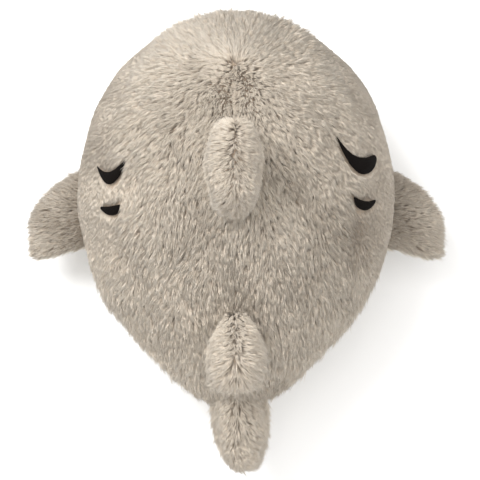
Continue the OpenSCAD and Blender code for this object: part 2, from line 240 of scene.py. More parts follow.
FINS = {
    "dorsal": Fin(
        "dorsal_lean", "dorsal_fin", [(0, 1, 0), (-1, 0, 0), (0, 0, 1)],
        chord=35.5, half=14.5, root=4, span=49, start=-8, sweep=7, dip=dorsal_dip, bend=-2),
    "pectoral_left": Fin(
        "pectoral_left_flap", "pectoral_left",
        [(0, 1, 0), (DROOP_SIN, 0, DROOP_COS), (DROOP_COS, 0, -DROOP_SIN)],
        chord=31, half=8, root=4, span=48, start=-14, sweep=23, shift=-6, narrow=0.52),
    "pectoral_right": Fin(
        "pectoral_right_flap", "pectoral_right",
        [(0, 1, 0), (-DROOP_SIN, 0, DROOP_COS), (-DROOP_COS, 0, -DROOP_SIN)],
        chord=31, half=8, root=4, span=48, start=-14, sweep=23, shift=-6, narrow=0.52),
    "tail_upper": Fin(
        "tail_upper_lean", "tail_upper",
        [(0, math.cos(SLOPE), -math.sin(SLOPE)), (-1, 0, 0), (0, math.sin(SLOPE), math.cos(SLOPE))],
        chord=21, half=15, root=4, span=40, start=-10, sweep=3, dip=upper_dip),
    "tail_lower": Fin(
        "tail_lower_swing", "tail_lower", [(0, 0, -1), (-1, 0, 0), (0, 1, 0)],
        chord=28, half=5, root=16, span=30, start=-34, sweep=10, bend=6, taper=0.3),
}


# ---- Meshes ------------------------------------------------------------------


def new_mesh(name, points, starts, corners, smooth=True):
    """A mesh object from flat arrays: polygon starts, and the vertex at each polygon corner."""
    mesh = bpy.data.meshes.new(name)
    mesh.vertices.add(len(points))
    mesh.vertices.foreach_set("co", np.ascontiguousarray(points, np.float32).ravel())
    mesh.loops.add(len(corners))
    mesh.loops.foreach_set("vertex_index", np.ascontiguousarray(corners, np.int32))
    mesh.polygons.add(len(starts))
    mesh.polygons.foreach_set("loop_start", np.ascontiguousarray(starts, np.int32))
    mesh.polygons.foreach_set("use_smooth", np.full(len(starts), smooth))
    mesh.update(calc_edges=True)
    obj = bpy.data.objects.new(name, mesh)
    bpy.context.scene.collection.objects.link(obj)
    return obj


def quads_mesh(name, points, quads):
    quads = np.asarray(quads)
    return new_mesh(name, points, np.arange(len(quads)) * 4, quads.ravel())


def bake_uv(obj, coords):
    """Lays the UV map that the pile's colours are read from."""
    layer = obj.data.uv_layers.new(name="OFBake")
    layer.data.foreach_set("uv", np.ascontiguousarray(coords, np.float32).ravel())


def sheet_mesh(name, outer, inner):
    """A closed thin shell between an outer and an inner grid of points."""
    rows, cols = outer.shape[:2]
    count = rows * cols
    at = np.arange(count).reshape(rows, cols)
    quad = np.stack([at[:-1, :-1], at[:-1, 1:], at[1:, 1:], at[1:, :-1]], -1).reshape(-1, 4)
    rim = np.concatenate([at[0, :], at[1:, -1], at[-1, -2::-1], at[-2:0:-1, 0]])
    ahead = np.roll(rim, -1)
    walls = np.stack([rim, rim + count, ahead + count, ahead], -1)
    points = np.concatenate([outer.reshape(-1, 3), inner.reshape(-1, 3)])
    return quads_mesh(name, points, np.concatenate([quad, quad[:, ::-1] + count, walls]))


def closed_mesh(name, grid, ends=None):
    """A closed solid from rings of points, fanned to two end points or to the middles of the end rings."""
    rows, sides = grid.shape[:2]
    at = np.arange(rows * sides).reshape(rows, sides)
    ahead = np.roll(at, -1, axis=1)
    quads = np.stack([at[:-1], ahead[:-1], ahead[1:], at[1:]], -1).reshape(-1, 4)
    if ends is None:
        ends = [grid[0].mean(0), grid[-1].mean(0)]
    top = rows * sides
    fans = np.concatenate([
        np.stack([np.full(sides, top), ahead[0], at[0]], -1),
        np.stack([np.full(sides, top + 1), at[-1], ahead[-1]], -1)])
    points = np.concatenate([grid.reshape(-1, 3), ends])
    corners = np.concatenate([quads.ravel(), fans.ravel()])
    starts = np.concatenate([np.arange(len(quads)) * 4, 4 * len(quads) + 3 * np.arange(len(fans))])
    return new_mesh(name, points, starts, corners)


def grid_surface(points):
    """Triangles, corner points and vertex normals of a grid, to scatter pile over."""
    du = np.gradient(points, axis=0)
    dv = np.gradient(points, axis=1)
    normals = unit(np.cross(dv, du))
    rows, cols = points.shape[:2]
    at = np.arange(rows * cols).reshape(rows, cols)
    tris = np.concatenate([
        np.stack([at[:-1, :-1], at[:-1, 1:], at[1:, 1:]], -1).reshape(-1, 3),
        np.stack([at[:-1, :-1], at[1:, 1:], at[1:, :-1]], -1).reshape(-1, 3)])
    return {"points": points.reshape(-1, 3), "normals": normals.reshape(-1, 3), "tris": tris}


def outward(surface, centre):
    """Turns a surface's normals to point away from its middle."""
    away = surface["points"] - centre
    flip = np.sign((away * surface["normals"]).sum(-1).mean())
    surface["normals"] = surface["normals"] * flip
    return surface


# ---- Pile --------------------------------------------------------------------

HAIR_STEPS = np.array([0.0, 0.55])  # where a hair has its rings of three points, from root to tip
HAIR_WIDTHS = np.array([0.9, 0.85])  # and its width there, as a share
HAIR_POINTS = 7
HAIR_FACES = 10  # triangles in a hair
EXPORT_FACES = 190_000  # triangles in a piece of pile
TONE_SLICE = 0.004  # width of a hair on its colour map
EVEN_SHARE = 0.75  # how far the colour of flat pile is evened from root to tip
EVEN_COLOUR = 0.6  # and the place along a hair that it is drawn to
ROOT_LEAN = 0.45  # share of its lean that a hair has at its root
FLAT_LEAN = 0.4  # and what is added to that in pile that lies flat
LEAN_LIMITS = (0.12, 1.45)  # radians
LENGTH_JITTER = 0.16
SWIRL_WAVE = 0.035
FLAT_LOOSE, FLAT_SPECKLE = 0.35, 0.25  # share of its looseness and of its speckle that flat pile keeps
REACH_SPREAD, WIDTH_SPREAD = (0.75, 1.08), (0.75, 1.2)
LENGTH_LIMITS, TONE_LIMITS = (0.6, 1.5), (0.02, 0.98)
ROOT_DEPTH = 0.4 * MM  # how far the roots reach into the backing
SPLIT_AXIS = np.array([0.31, 1.0, 0.17])  # the pile is cut into pieces along this direction
OVERSAMPLE = 3.0  # points tried for each cell of the surface
CELL_SHIFT = 1.0  # metres added so that every cell counts from 0
CELL_COUNT = 2000  # more than the cells along any side


def scatter(surface, pitch):
    """Points spread evenly over a surface, about pitch apart, with their normals."""
    p, n, t = surface["points"], surface["normals"], surface["tris"]
    a, b, c = p[t[:, 0]], p[t[:, 1]], p[t[:, 2]]
    area = 0.5 * np.linalg.norm(np.cross(b - a, c - a), axis=1)
    wanted = int(OVERSAMPLE * area.sum() / pitch ** 2)
    pick = rng.choice(len(t), wanted, p=area / area.sum())
    s = np.sqrt(rng.random(wanted))
    r = rng.random(wanted)
    weights = np.stack([1 - s, s * (1 - r), s * r], -1)
    at = (p[t[pick]] * weights[..., None]).sum(1)
    normal = unit((n[t[pick]] * weights[..., None]).sum(1))
    cell = np.floor((at + CELL_SHIFT) / pitch).astype(np.int64)
    key = (cell[:, 0] * CELL_COUNT + cell[:, 1]) * CELL_COUNT + cell[:, 2]
    keep = np.sort(np.unique(key, return_index=True)[1])
    return at[keep], normal[keep]


def lay_clumps(surface, look, comb):
    """Spreads clumps of pile over a surface, and combs them.

    comb gives, for each clump, the way its nap runs, its lean from the surface's normal, its length,
    its tone from 0 (dark) to 1 (light), and how tidy it is, from 0 for tufts to 1 for flat and even.
    """
    centre, normal = scatter(surface, look["pitch"] * (1.0))
    way, lean, length, tone, tidy = comb(centre)
    count = len(centre)
    rough = 1 - tidy
    tangent = unit(way - normal * (way * normal).sum(-1, keepdims=True))
    side = np.cross(normal, tangent)
    swirl = waves(centre, SWIRL_WAVE, 11) + 0.5 * rough * rng.normal(size=count)
    swirl = np.radians(look["swirl"]) * swirl
    tangent, side = (
        tangent * np.cos(swirl)[:, None] + side * np.sin(swirl)[:, None],
        side * np.cos(swirl)[:, None] - tangent * np.sin(swirl)[:, None])
    lean = lean + rough * np.radians(look["lean_jitter"]) * rng.normal(size=count)
    length = length * np.clip(1 + LENGTH_JITTER * (0.3 + rough) * rng.normal(size=count), *LENGTH_LIMITS)
    speckle = FLAT_SPECKLE + (1 - FLAT_SPECKLE) * rough
    tone = tone + speckle * look["tone_jitter"] * rng.normal(size=count)
    return centre, normal, tangent, side, np.clip(lean, *LEAN_LIMITS), length, tone, tidy


def split_hairs(clumps, look):
    """Splits clumps into hairs: the root, knee and tip of each, its tone, and how even its colour is."""
    centre, normal, tangent, side, lean, length, tone, tidy = clumps
    who = np.repeat(np.arange(len(centre)), look["hairs"])
    total = len(who)
    rough = 1 - tidy
    loose = (FLAT_LOOSE + (1 - FLAT_LOOSE) * rough)[who]
    spot = rng.random(total) * 2 * np.pi
    spread = look["clump"] * np.sqrt(rng.random(total))
    offset = (tangent[who] * (spread * np.cos(spot))[:, None]
              + side[who] * (spread * np.sin(spot))[:, None])
    root = centre[who] + offset - normal[who] * ROOT_DEPTH
    reach = length[who] * rng.uniform(*REACH_SPREAD, total)
    bend = lean[who] + np.radians(look["splay"]) * loose * rng.normal(size=total)
    early = (ROOT_LEAN + FLAT_LEAN * tidy ** 4)[who] * bend
    first = normal[who] * np.cos(early)[:, None] + tangent[who] * np.sin(early)[:, None]
    whole = normal[who] * np.cos(bend)[:, None] + tangent[who] * np.sin(bend)[:, None]
    gather = (look["gather"] * rough)[who][:, None]
    tip = (centre[who] + offset * (1 - gather) + whole * reach[:, None]
           + rng.normal(size=(total, 3)) * look["fray"] * loose[:, None])
    knee = root + first * (0.5 * reach)[:, None]
    tone = tone[who] + look["hair_jitter"] * loose * rng.normal(size=total)
    return root, knee, tip, np.clip(tone, *TONE_LIMITS), EVEN_SHARE * tidy[who]


def grow(name, surface, look, comb, keep=None):
    """Grows clumped pile over a surface and returns its pieces, each small enough to export whole."""
    hairs = split_hairs(lay_clumps(surface, look, comb), look)
    if keep is not None:
        good = keep(*hairs[:3])
        hairs = [values[good] for values in hairs]
    root, knee, tip, tone, even = hairs
    width = look["width"] * rng.uniform(*WIDTH_SPREAD, len(root))
    order = np.argsort(root @ SPLIT_AXIS, kind="stable")
    parts = math.ceil(len(root) * HAIR_FACES / EXPORT_FACES)
    return [
        hair_mesh(f"{name}_{i + 1}", root[part], knee[part], tip[part], width[part], tone[part], even[part])
        for i, part in enumerate(np.array_split(order, parts))]


def hair_mesh(name, root, knee, tip, width, tone, even):
    """Tapered three-sided hairs, each bent once, as one closed solid per hair.

    even draws a hair's colour from root to tip together, as pile that lies flat shows only its tips.
    """
    count = len(root)
    s = HAIR_STEPS[None, :, None]
    line = root[:, None] * (1 - s) ** 2 + knee[:, None] * 2 * s * (1 - s) + tip[:, None] * s ** 2
    ahead = unit(tip - root)
    across = unit(np.cross(ahead, unit(rng.normal(size=(count, 3)))))
    up = np.cross(ahead, across)
    turn = np.arange(3) * 2 * np.pi / 3
    ring = across[:, None] * np.cos(turn)[None, :, None] + up[:, None] * np.sin(turn)[None, :, None]
    radius = 0.5 * width[:, None] * HAIR_WIDTHS[None, :]
    body = line[:, :, None] + ring[:, None] * radius[:, :, None, None]
    points = np.concatenate([body.reshape(count, HAIR_POINTS - 1, 3), tip[:, None]], axis=1)
    pattern = np.array([  # three sides, three faces to the tip, and the root's end
        0, 1, 4, 3, 1, 2, 5, 4, 2, 0, 3, 5,
        3, 4, 6, 4, 5, 6, 5, 3, 6, 2, 1, 0])
    first = np.array([0, 4, 8, 12, 15, 18, 21])
    corners = (pattern[None] + HAIR_POINTS * np.arange(count)[:, None]).ravel()
    starts = (first[None] + len(pattern) * np.arange(count)[:, None]).ravel()
    obj = new_mesh(name, points.reshape(-1, 3), starts, corners)
    coords = np.empty((count, len(pattern), 2))
    coords[..., 0] = tone[:, None] + TONE_SLICE * np.array([-1, 0, 1, -1, 0, 1, 0])[pattern]
    along = np.array([0, 0, 0, HAIR_STEPS[1], HAIR_STEPS[1], HAIR_STEPS[1], 1.0])[pattern]
    coords[..., 1] = along * (1 - even[:, None]) + EVEN_COLOUR * even[:, None]
    bake_uv(obj, np.clip(coords, 0.01, 0.99).reshape(-1, 2))
    return obj


# ---- Materials ---------------------------------------------------------------


def srgb(r, g, b):
    """A colour from 0-255 display values."""
    return tuple(((c / 255 + 0.055) / 1.055) ** 2.4 if c > 10 else c / 255 / 12.92 for c in (r, g, b)) + (1,)


class Nodes:
    """A material's node tree, with short calls to add and join nodes."""

    def __init__(self, name, roughness=0.8, sheen=0.0):
        self.material = bpy.data.materials.new(name)
        self.material.use_nodes = True
        self.tree = self.material.node_tree
        self.shader = self.tree.nodes["Principled BSDF"]
        self.shader.inputs["Roughness"].default_value = roughness
        self.shader.inputs["Sheen Weight"].default_value = sheen
        self.shader.inputs["Sheen Roughness"].default_value = 0.5

    def add(self, kind, **inputs):
        node = self.tree.nodes.new(kind)
        for key, value in inputs.items():
            node.inputs[key.replace("_", " ")].default_value = value
        return node

    def link(self, source, target):
        self.tree.links.new(source, target)

    def ramp(self, factor, stops):
        node = self.tree.nodes.new("ShaderNodeValToRGB")
        ramp = node.color_ramp
        while len(ramp.elements) < len(stops):
            ramp.elements.new(0.5)
        for element, (at, colour) in zip(ramp.elements, stops):
            element.position = at
            element.color = colour
        self.link(factor, node.inputs["Fac"])
        return node.outputs["Color"]

    def multiply(self, a, b):
        node = self.tree.nodes.new("ShaderNodeMix")
        node.data_type = "RGBA"
        node.blend_type = "MULTIPLY"
        node.inputs["Factor"].default_value = 1
        self.link(a, node.inputs["A"])
        self.link(b, node.inputs["B"])
        return node.outputs["Result"]

    def bump(self, height, strength, distance):
        node = self.add("ShaderNodeBump", Strength=strength, Distance=distance)
        self.link(height, node.inputs["Height"])
        self.link(node.outputs["Normal"], self.shader.inputs["Normal"])


def pile_material(name, root, middle, tip, dark, light):
    """Pile coloured from root to tip along V of its map, and from hair to hair along U."""
    m = Nodes(name, roughness=0.85, sheen=0.15)
    m.shader.inputs["Specular IOR Level"].default_value = 0.2
    uv = m.tree.nodes.new("ShaderNodeUVMap")
    uv.uv_map = "OFBake"
    split = m.tree.nodes.new("ShaderNodeSeparateXYZ")
    m.link(uv.outputs["UV"], split.inputs["Vector"])
    along = m.ramp(split.outputs["Y"], [(0.0, root), (0.5, middle), (0.95, tip)])
    tone = m.ramp(split.outputs["X"], [(0.0, dark), (0.5, (1, 1, 1, 1)), (1.0, light)])
    stretch = m.add("ShaderNodeMapping")
    stretch.inputs["Scale"].default_value = (60, 3, 1)
    m.link(uv.outputs["UV"], stretch.inputs["Vector"])
    hue = m.add("ShaderNodeTexNoise", Scale=1.0, Detail=2.0)
    m.link(stretch.outputs["Vector"], hue.inputs["Vector"])
    warmth = m.ramp(hue.outputs["Fac"], [(0.35, (1.01, 0.99, 0.96, 1)), (0.65, (0.98, 1.0, 1.02, 1))])
    m.link(m.multiply(m.multiply(along, tone), warmth), m.shader.inputs["Base Color"])
    return m.material


def knit_material(name, low, high):
    """The knitted backing under the pile."""
    m = Nodes(name, roughness=0.95, sheen=0.2)
    noise = m.add("ShaderNodeTexNoise", Scale=900.0, Detail=4.0)
    wave = m.add("ShaderNodeTexVoronoi", Scale=1400.0)
    m.link(m.ramp(noise.outputs["Fac"], [(0.35, low), (0.65, high)]), m.shader.inputs["Base Color"])
    m.bump(wave.outputs["Distance"], 0.5, 0.3 * MM)
    return m.material


def fibre_material():
    m = Nodes("fibre_fill", roughness=1.0, sheen=0.5)
    noise = m.add("ShaderNodeTexNoise", Scale=160.0, Detail=8.0, Distortion=2.0)
    m.link(m.ramp(noise.outputs["Fac"], [(0.3, srgb(205, 205, 203)), (0.7, srgb(244, 244, 242))]),
           m.shader.inputs["Base Color"])
    m.bump(noise.outputs["Fac"], 1.0, 1.5 * MM)
    return m.material


def thread_material(name, low, high, roughness, sheen, scale=2500.0, gloss=0.5):
    m = Nodes(name, roughness=roughness, sheen=sheen)
    m.shader.inputs["Specular IOR Level"].default_value = gloss
    noise = m.add("ShaderNodeTexNoise", Scale=scale, Detail=3.0)
    m.link(m.ramp(noise.outputs["Fac"], [(0.3, low), (0.7, high)]), m.shader.inputs["Base Color"])
    m.bump(noise.outputs["Fac"], 0.4, 0.1 * MM)
    return m.material


def plastic_material(name, low, high, roughness, coat=0.0, gloss=0.5):
    m = Nodes(name, roughness=roughness)
    m.shader.inputs["Specular IOR Level"].default_value = gloss
    m.shader.inputs["Coat Weight"].default_value = coat
    m.shader.inputs["Coat Roughness"].default_value = 0.03
    noise = m.add("ShaderNodeTexNoise", Scale=300.0, Detail=2.0)
    m.link(m.ramp(noise.outputs["Fac"], [(0.2, low), (0.8, high)]), m.shader.inputs["Base Color"])
    m.bump(noise.outputs["Fac"], 0.03, 0.05 * MM)
    return m.material


GREY_PILE = pile_material(
    "grey_pile", srgb(166, 149, 131), srgb(209, 197, 182), srgb(228, 220, 207),
    (0.45, 0.41, 0.37, 1), (1.24, 1.23, 1.22, 1))
CREAM_PILE = pile_material(
    "cream_pile", srgb(206, 194, 176), srgb(236, 229, 216), srgb(248, 244, 236),
    (0.88, 0.86, 0.82, 1), (1.03, 1.03, 1.02, 1))
GREY_KNIT = knit_material("grey_backing", srgb(156, 139, 121), srgb(178, 161, 142))
CREAM_KNIT = knit_material("cream_backing", srgb(206, 196, 180), srgb(226, 218, 204))
FIBRE = fibre_material()
BLACK_THREAD = thread_material("black_thread", srgb(7, 5, 4), srgb(20, 15, 13), 0.6, 0.0, gloss=0.05)
SEAM_THREAD = thread_material("seam_thread", srgb(120, 106, 90), srgb(156, 142, 124), 0.75, 0.3)
CREAM_THREAD = thread_material("cream_thread", srgb(206, 196, 180), srgb(232, 224, 208), 0.75, 0.3)
LABEL = thread_material("label_satin", srgb(226, 225, 222), srgb(246, 246, 244), 0.5, 0.4, 1200.0)
EYE = plastic_material("eye_plastic", srgb(4, 4, 4), srgb(10, 8, 8), 0.2, 0.08, 0.2)
WASHER = plastic_material("washer_plastic", srgb(205, 204, 200), srgb(228, 227, 224), 0.5)


def dress(obj, material, body):
    """Gives a piece its material and the body that it rides on."""
    obj.data.materials.clear()
    obj.data.materials.append(material)
    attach(obj, body)
    return obj


# ---- Embroidered marks -------------------------------------------------------

MARK_DEPTH = 2.9 * MM  # how deep the marks' padding lies under the pile's surface
FLAT_SHARPNESS, FLAT_REACH = 2.5, 16 * MM  # how far round a mark the pile lies flat


class Crescent:
    """A satin-stitched crescent, laid out as part.scad lays it: p runs up around the side, q to the nose.

    behind is its place behind the widest station and angle its degrees above the axis. bow is how far its
    middle curves to the rear, and tilt turns it, in degrees. rise and fall shape its lower and upper ends:
    near 1 is drawn out to a point, near 0 is blunt. side is 1 on the left and -1 on the right.
    """

    def __init__(self, node, behind, angle, length, bow, wide, tilt, rise, fall, side):
        self.node, self.y, self.angle, self.side = node, widest_y + behind * MM, angle, side
        self.length, self.bow, self.wide = length * MM, bow * MM, wide * MM
        self.tilt, self.rise, self.fall = math.radians(tilt), rise, fall
        share_up = rise / (rise + fall)
        self.peak = share_up ** rise * (1 - share_up) ** fall
        a = math.radians(angle)
        self.rim = float(math.hypot(half_w * math.sin(a), back_h * math.cos(a)) * share_at(self.y))

    def middle(self, t):
        return self.length * (t - 0.5), -self.bow * 4 * t * (1 - t) + self.bow / 2

    def width(self, t):
        t = np.clip(t, 0, 1)
        return self.wide * t ** self.rise * (1 - t) ** self.fall / self.peak

    def place(self, p, q, depth):
        c, s = math.cos(self.tilt), math.sin(self.tilt)
        y = self.y - (q * c + p * s)
        angle = self.angle + np.degrees((p * c - q * s) / self.rim)
        at = station_point(y, angle, depth)
        at[..., 0] *= self.side
        return stuffed(at.reshape(-1, 3)).reshape(at.shape)

    def flat(self, points):
        """The p and q of points near the mark."""
        c, s = math.cos(self.tilt), math.sin(self.tilt)
        angle = np.degrees(np.arctan2((points[:, 2] - AXIS_H) / back_h, self.side * points[:, 0] / half_w))
        along = self.y - points[:, 1]
        around = np.radians(angle - self.angle) * self.rim
        return around * c + along * s, along * c - around * s

    def nearness(self, points):
        """1 on the mark, fading to 0 some way off."""
        p, q = self.flat(points)
        fade = np.exp(-(p / self.length) ** 2 * FLAT_SHARPNESS - (q / FLAT_REACH) ** 2)
        return fade * (self.side * points[:, 0] > 0)

    def covers(self, points, margin):
        """Which points lie over the mark, or within margin of it."""
        p, q = self.flat(points)
        t = p / self.length + 0.5
        _, middle = self.middle(t)
        inside = np.abs(q - middle) < 0.5 * self.width(t) + margin
        return inside & (t > -margin / self.length) & (t < 1 + margin / self.length) & (
            self.side * points[:, 0] > 0)


CRESCENTS = [
    Crescent("gill_left_front", -12.5, 39.6, 34.4, 10.4, 10, -4.8, 0.92, 0.44, 1),
    Crescent("gill_left_rear", 17.1, 37.9, 25.5, 2.3, 7, -9.7, 0.61, 0.23, 1),
    Crescent("gill_right_front", -23.8, 41.8, 48.3, 14.2, 12.2, 10.7, 0.33, 0.73, -1),
    Crescent("gill_right_rear", 11.7, 36.8, 28.6, 4.3, 7, -8.3, 0.55, 0.24, -1),
]
THREAD_PITCH = 0.5 * MM
THREAD_HALF = 0.36 * MM
THREAD_SLANT = 0.18
THREAD_MIN = 0.8 * MM  # the least length of a thread
THREAD_OVER, THREAD_RAGGED = 0.5 * MM, 0.25 * MM  # what is added to it, and how much that varies
STITCH_ARCH, STITCH_SINK = 0.7 * MM, 0.4 * MM
FULL_ARCH_AT = 5 * MM  # width of the mark where its threads arch fully


def tubes_mesh(name, paths, radius, sides=6):
    """Closed round tubes along several paths that have the same number of points."""
    count, steps = paths.shape[:2]
    along = unit(np.gradient(paths, axis=1))
    helper = np.where(np.abs(along[..., 2:3]) > 0.9, [1.0, 0, 0], [0, 0, 1.0])
    across = unit(np.cross(along, helper))
    up = np.cross(across, along)
    turn = np.arange(sides) * 2 * np.pi / sides
    ring = (across[:, :, None] * np.cos(turn)[:, None] + up[:, :, None] * np.sin(turn)[:, None])
    points = (paths[:, :, None] + radius * ring).reshape(-1, 3)
    at = np.arange(count * steps * sides).reshape(count, steps, sides)
    ahead = np.roll(at, -1, axis=2)
    quads = np.stack([at[:, :-1], ahead[:, :-1], ahead[:, 1:], at[:, 1:]], -1).reshape(-1, 4)
    caps = np.concatenate([at[:, 0, ::-1].reshape(-1, sides), at[:, -1].reshape(-1, sides)])
    corners = np.concatenate([quads.ravel(), caps.ravel()])
    starts = np.concatenate([
        np.arange(len(quads)) * 4, 4 * len(quads) + np.arange(len(caps)) * sides])
    return new_mesh(name, points, starts, corners)


def embroider(mark):
    """Satin threads side by side across the crescent, arched over their padding."""
    count = int(mark.length / THREAD_PITCH)
    t = (np.arange(count) + 0.5) / count
    p, q = mark.middle(t)
    across = np.linspace(-0.5, 0.5, 9)
    wide = np.maximum(mark.width(t), THREAD_MIN) + THREAD_OVER + rng.normal(size=count) * THREAD_RAGGED
    along = p[:, None] + THREAD_SLANT * across * wide[:, None]
    forward = q[:, None] + across * wide[:, None]
    arch = STITCH_ARCH * np.sqrt(np.clip(1 - (2 * across) ** 2, 0, 1)) - STITCH_SINK
    depth = MARK_DEPTH - arch[None] * np.clip(wide[:, None] / FULL_ARCH_AT, 0.3, 1)
    paths = mark.place(along, forward, depth)
    obj = tubes_mesh(mark.node + "_stitches", paths, THREAD_HALF)
    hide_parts(mark.node)
    return dress(obj, BLACK_THREAD, "body")


MOUTH_Y = widest_y - 142 * MM
MOUTH_SPAN = 74.0  # degrees around the body
MOUTH_LIFT = 9 * MM  # how far its corners turn up to the nose
MOUTH_DEPTH = 2.6 * MM
MOUTH_HALF = 1.5 * MM
MOUTH_CLEAR = 1.6 * MM
MOUTH_ARCH = 0.8 * MM
MOUTH_THREADS = 170
MOUTH_SLANT = 0.8  # degrees


def mouth_line(t):
    """Place of the mouth line along the belly fabric: station and angle."""
    return MOUTH_Y - MOUTH_LIFT * (2 * t - 1) ** 2, -90 + MOUTH_SPAN * (t - 0.5)


def embroider_mouth():
    """Short threads side by side along the mouth line."""
    t = (np.arange(MOUTH_THREADS) + 0.5) / MOUTH_THREADS
    y, angle = mouth_line(t)
    across = np.linspace(-1, 1, 7)
    arch = MOUTH_ARCH * np.sqrt(np.clip(1 - across ** 2, 0, 1))
    paths = station_point(
        y[:, None] + across * MOUTH_HALF, angle[:, None] + MOUTH_SLANT * across, MOUTH_DEPTH - arch[None])
    obj = tubes_mesh("mouth_stitches", paths, THREAD_HALF)
    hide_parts("mouth_stitch")
    return dress(obj, BLACK_THREAD, "body")


def near_mouth(points, margin):
    """Which points lie within margin of the mouth's threads."""
    angle = np.degrees(np.arctan2((points[:, 2] - AXIS_H) / BELLY_D, points[:, 0] / half_w))
    t = (angle + 90) / MOUTH_SPAN + 0.5
    y, _ = mouth_line(t)
    return (np.abs(points[:, 1] - y) < MOUTH_CLEAR + margin) & (t > 0) & (t < 1)


# ---- Eyes --------------------------------------------------------------------

EYE_R = 8 * MM
EYE_TURN, EYE_TILT = math.radians(56), math.radians(10)
EYE_BEHIND = -112 * MM  # its place behind the widest station
EYE_ANGLE = -10  # and around the body, in degrees above the axis
EYE_SINK = 2.0 * MM
DOME_WIDE, DOME_HIGH, LIP_WIDE = 1.02, 0.72, 1.06  # in eye radii
POST_RIDGES, RIDGE_PITCH = 6, 1.8 * MM


def eye_axis(side):
    """The eye's outward direction."""
    flat = math.cos(EYE_TILT)
    return np.array([side * flat * math.sin(EYE_TURN), -flat * math.cos(EYE_TURN), -math.sin(EYE_TILT)])


def eye_centre(side):
    at = station_point(widest_y + EYE_BEHIND, EYE_ANGLE, 0)
    at[0] *= side
    return at


def make_eye(node, side):
    """A domed safety eye with a turned lip and its ribbed post."""
    dome = [(EYE_R * DOME_WIDE * math.sin(a), EYE_R * DOME_HIGH * math.cos(a) - 0.6 * MM)
            for a in np.linspace(0, math.radians(88), 14)]
    lip = [(EYE_R * LIP_WIDE, -0.9 * MM), (EYE_R * LIP_WIDE, -1.6 * MM), (EYE_R * 0.95, -2.0 * MM)]
    post = [(2.4 * MM, -2.2 * MM)]
    for ridge in range(POST_RIDGES):
        z = -3.2 * MM - ridge * RIDGE_PITCH
        post += [(2.2 * MM, z), (1.8 * MM, z - 0.5 * RIDGE_PITCH)]
    profile = np.array(dome[1:] + lip + post)  # radius, and height along the eye's axis
    sides = 48
    turn = np.arange(sides) * 2 * np.pi / sides
    axis = eye_axis(side)
    across = unit(np.cross(axis, [0, 0, 1.0]))
    up = np.cross(across, axis)
    centre = eye_centre(side) - axis * EYE_SINK
    ring = across * np.cos(turn)[:, None] + up * np.sin(turn)[:, None]
    points = centre + profile[:, 0, None, None] * ring[None] + profile[:, 1, None, None] * axis
    ends = [centre + dome[0][1] * axis, centre + profile[-1, 1] * axis]
    obj = closed_mesh(node + "_dome", points[:, ::-1], ends)
    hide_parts(node)
    return dress(obj, EYE, "body")


# ---- Pile looks and combing --------------------------------------------------

LONG_PILE = dict(
    pitch=2.2 * MM, hairs=9, clump=1.6 * MM, gather=0.4, fray=0.6 * MM, splay=6, width=0.56 * MM,
    swirl=15, lean_jitter=5, tone_jitter=0.06, hair_jitter=0.1)
FIN_PILE = dict(LONG_PILE, pitch=2.15 * MM, swirl=12, gather=0.2, hairs=10, width=0.52 * MM)
SHORT_PILE = dict(
    pitch=3.1 * MM, hairs=8, clump=1.9 * MM, gather=0.4, fray=0.4 * MM, splay=6, width=0.8 * MM,
    swirl=10, lean_jitter=6, tone_jitter=0.08, hair_jitter=0.1)

WHORL = np.array([0.0, widest_y - 78 * MM, 0.20])
WHORL_WIDE, WHORL_LONG = 24 * MM, 40 * MM
NAP_BACK = 0.02  # how much more the nap runs to the rear than straight out from the whorl
BAND_ANGLES = (50, 38)  # degrees above the axis where the flat pile of the cheeks starts and is full
BAND_BACK, BAND_FRONT = 0.07, 0.02  # and the same along the body, behind the widest station
LOW_HEIGHTS = (0.16, 0.09)
BODY_PILE_LENGTH = 11 * MM
WHORL_SHORT, FLAT_SHORT, LENGTH_SWING = 0.15, 0.2, 0.08
# the lean of the back's pile in degrees, and what the whorl, the low sides and the flat patches add to it
BACK_LEAN, WHORL_LEAN, LOW_LEAN, FLAT_PILE_LEAN, LEAN_SWING = 63, -17, 3, 18, 5
BACK_TONE, WHORL_TONE, FLAT_TONE, TONE_SWING = 0.49, 0.08, -0.1, 0.05
WHORL_TIDY, FLAT_TIDY = 0.75, 0.95
BELLY_PILE_LENGTH = 6.5 * MM
BELLY_LEAN, FLOOR_LEAN = 46, 34  # degrees, and what resting on the floor adds
BELLY_FAN = 1.5  # how fast the nap turns outwards away from the middle
FLOOR_HEIGHTS = (0.012, 0.002)
# painted shade: a fin's parting is painted darker than its sides, as shade in its hollow
RIM_TONE = 0.14  # how much lighter a fin's sides are than its parting
FIN_WAVE = 0.03
EYE_CLEAR, EYE_TIP_CLEAR = 1.06, 0.9  # in eye radii, for the roots and the tips of hairs
# patches of painted shade, such as the dorsal fin's shadow and the shaded right side of the back:
# x, distance behind the widest station, radius, change of tone
SHADE_PATCHES = [
    (38 * MM, 43 * MM, 22 * MM, -0.13),
    (-82 * MM, 40 * MM, 40 * MM, -0.22),
    (-38 * MM, -6 * MM, 20 * MM, -0.2),
    (-40 * MM, -49 * MM, 15 * MM, -0.06),
    (-78 * MM, 96 * MM, 40 * MM, -0.06),
    (0, -125 * MM, 45 * MM, -0.1)]


def painted_shade(p):
    """The change of tone from the patches of painted shade on the back."""
    change = np.zeros(len(p))
    for x, behind, radius, tone in SHADE_PATCHES:
        gap = np.hypot(p[:, 0] - x, p[:, 1] - widest_y - behind)
        change += tone * np.exp(-(gap / radius) ** 2)
    return change * on_top(p)


def cheek_band(p):
    """1 on the lower sides of the front half, fading to 0 further up and further back."""
    angle = np.degrees(np.arctan2((p[:, 2] - AXIS_H) / back_h, np.abs(p[:, 0]) / half_w))
    in_front = smooth_step(widest_y + BAND_BACK, widest_y + BAND_FRONT, p[:, 1])
    return smooth_step(*BAND_ANGLES, angle) * in_front


